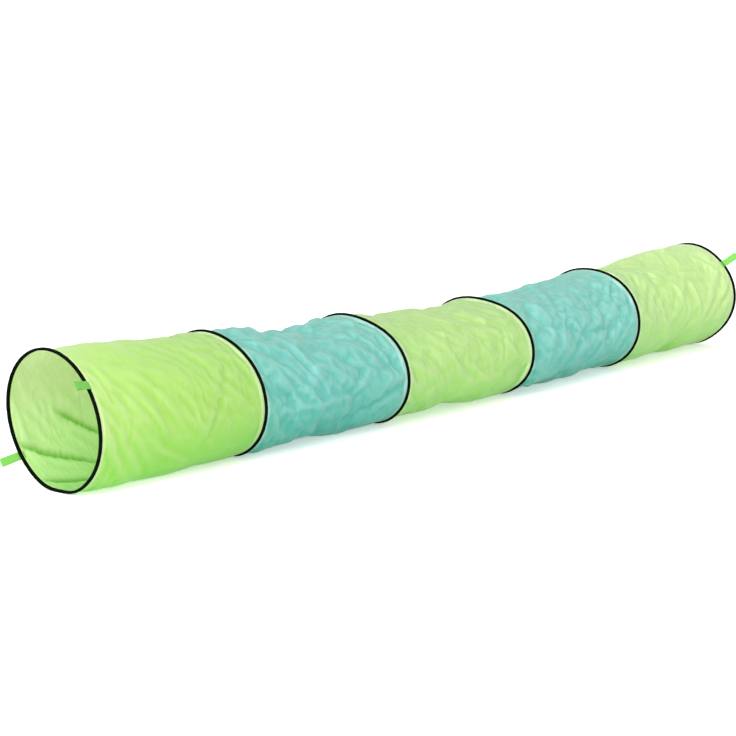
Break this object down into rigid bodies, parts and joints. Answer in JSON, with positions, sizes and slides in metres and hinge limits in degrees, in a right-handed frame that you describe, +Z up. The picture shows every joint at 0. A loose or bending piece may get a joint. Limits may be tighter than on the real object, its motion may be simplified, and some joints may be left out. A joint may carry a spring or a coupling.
{
  "type": "agility tunnel",
  "caption": "Collapsible fabric crawl tunnel for dog agility training, with green and teal covers sewn between bound spring-steel hoops and webbing loops at both mouths",
  "frame": {"origin": "on the ground under the middle of the tunnel, half way between the two mouths", "axes": "+X along the tunnel from the front mouth to the rear mouth, +Y across it to the left when looking along +X, +Z up"},
  "size_m": [5.1838, 0.6836, 0.6176],
  "materials": {
    "cover_green": "thin translucent lime green woven polyester, satin",
    "cover_teal": "thin translucent teal woven polyester, satin",
    "binding_tape": "black grosgrain binding tape, matt",
    "hoop_steel": "oiled grey spring-steel wire",
    "ferrule_steel": "crimped zinc-plated tube",
    "loop_webbing": "saturated green polyester webbing"
  },
  "bodies": {
    "hoop_1": {"hoop_binding_1": "binding_tape", "hoop_wire_1": "hoop_steel", "hoop_ferrule_1": "ferrule_steel", "cover_panel_1": "cover_green"},
    "hoop_2": {"hoop_binding_2": "binding_tape", "hoop_wire_2": "hoop_steel", "hoop_ferrule_2": "ferrule_steel", "cover_panel_2": "cover_teal"},
    "hoop_3": {"hoop_binding_3": "binding_tape", "hoop_wire_3": "hoop_steel", "hoop_ferrule_3": "ferrule_steel", "cover_panel_3": "cover_green"},
    "hoop_4": {"hoop_binding_4": "binding_tape", "hoop_wire_4": "hoop_steel", "hoop_ferrule_4": "ferrule_steel", "cover_panel_4": "cover_teal"},
    "hoop_5": {"hoop_binding_5": "binding_tape", "hoop_wire_5": "hoop_steel", "hoop_ferrule_5": "ferrule_steel", "cover_panel_5": "cover_green"},
    "hoop_6": {"hoop_binding_6": "binding_tape", "hoop_wire_6": "hoop_steel", "hoop_ferrule_6": "ferrule_steel"},
    "loop_front_right": {"tie_loop_front_right": "loop_webbing"},
    "loop_front_left": {"tie_loop_front_left": "loop_webbing"},
    "loop_rear_right": {"tie_loop_rear_right": "loop_webbing"},
    "loop_rear_left": {"tie_loop_rear_left": "loop_webbing"}
  },
  "joints": [
    {"name": "collapse_1", "type": "slide", "parent": "hoop_1", "child": "hoop_2", "axis": [-1, 0, 0], "range_m": [0, 0.965], "deforming": ["cover_panel_1"]},
    {"name": "collapse_2", "type": "slide", "parent": "hoop_2", "child": "hoop_3", "axis": [-1, 0, 0], "range_m": [0, 0.965], "deforming": ["cover_panel_2"]},
    {"name": "collapse_3", "type": "slide", "parent": "hoop_3", "child": "hoop_4", "axis": [-1, 0, 0], "range_m": [0, 0.965], "deforming": ["cover_panel_3"]},
    {"name": "collapse_4", "type": "slide", "parent": "hoop_4", "child": "hoop_5", "axis": [-1, 0, 0], "range_m": [0, 0.965], "deforming": ["cover_panel_4"]},
    {"name": "collapse_5", "type": "slide", "parent": "hoop_5", "child": "hoop_6", "axis": [-1, 0, 0], "range_m": [0, 0.965], "deforming": ["cover_panel_5"]},
    {"name": "loop_front_right_swing", "type": "hinge", "parent": "hoop_1", "child": "loop_front_right", "pos_m": [-2.5092, -0.21669, 0.48769], "axis": [0, -0.6013, -0.7991], "range_deg": [-155, 100]},
    {"name": "loop_front_left_swing", "type": "hinge", "parent": "hoop_1", "child": "loop_front_left", "pos_m": [-2.5092, 0.21669, 0.12494], "axis": [0, 0.6013, 0.7991], "range_deg": [-140, 115]},
    {"name": "loop_rear_right_swing", "type": "hinge", "parent": "hoop_6", "child": "loop_rear_right", "pos_m": [2.5092, -0.23171, 0.48706], "axis": [0, 0.7045, 0.7097], "range_deg": [-115, 140]},
    {"name": "loop_rear_left_swing", "type": "hinge", "parent": "hoop_6", "child": "loop_rear_left", "pos_m": [2.5092, 0.23171, 0.09682], "axis": [0, -0.7045, -0.7097], "range_deg": [-155, 100]}
  ]
}
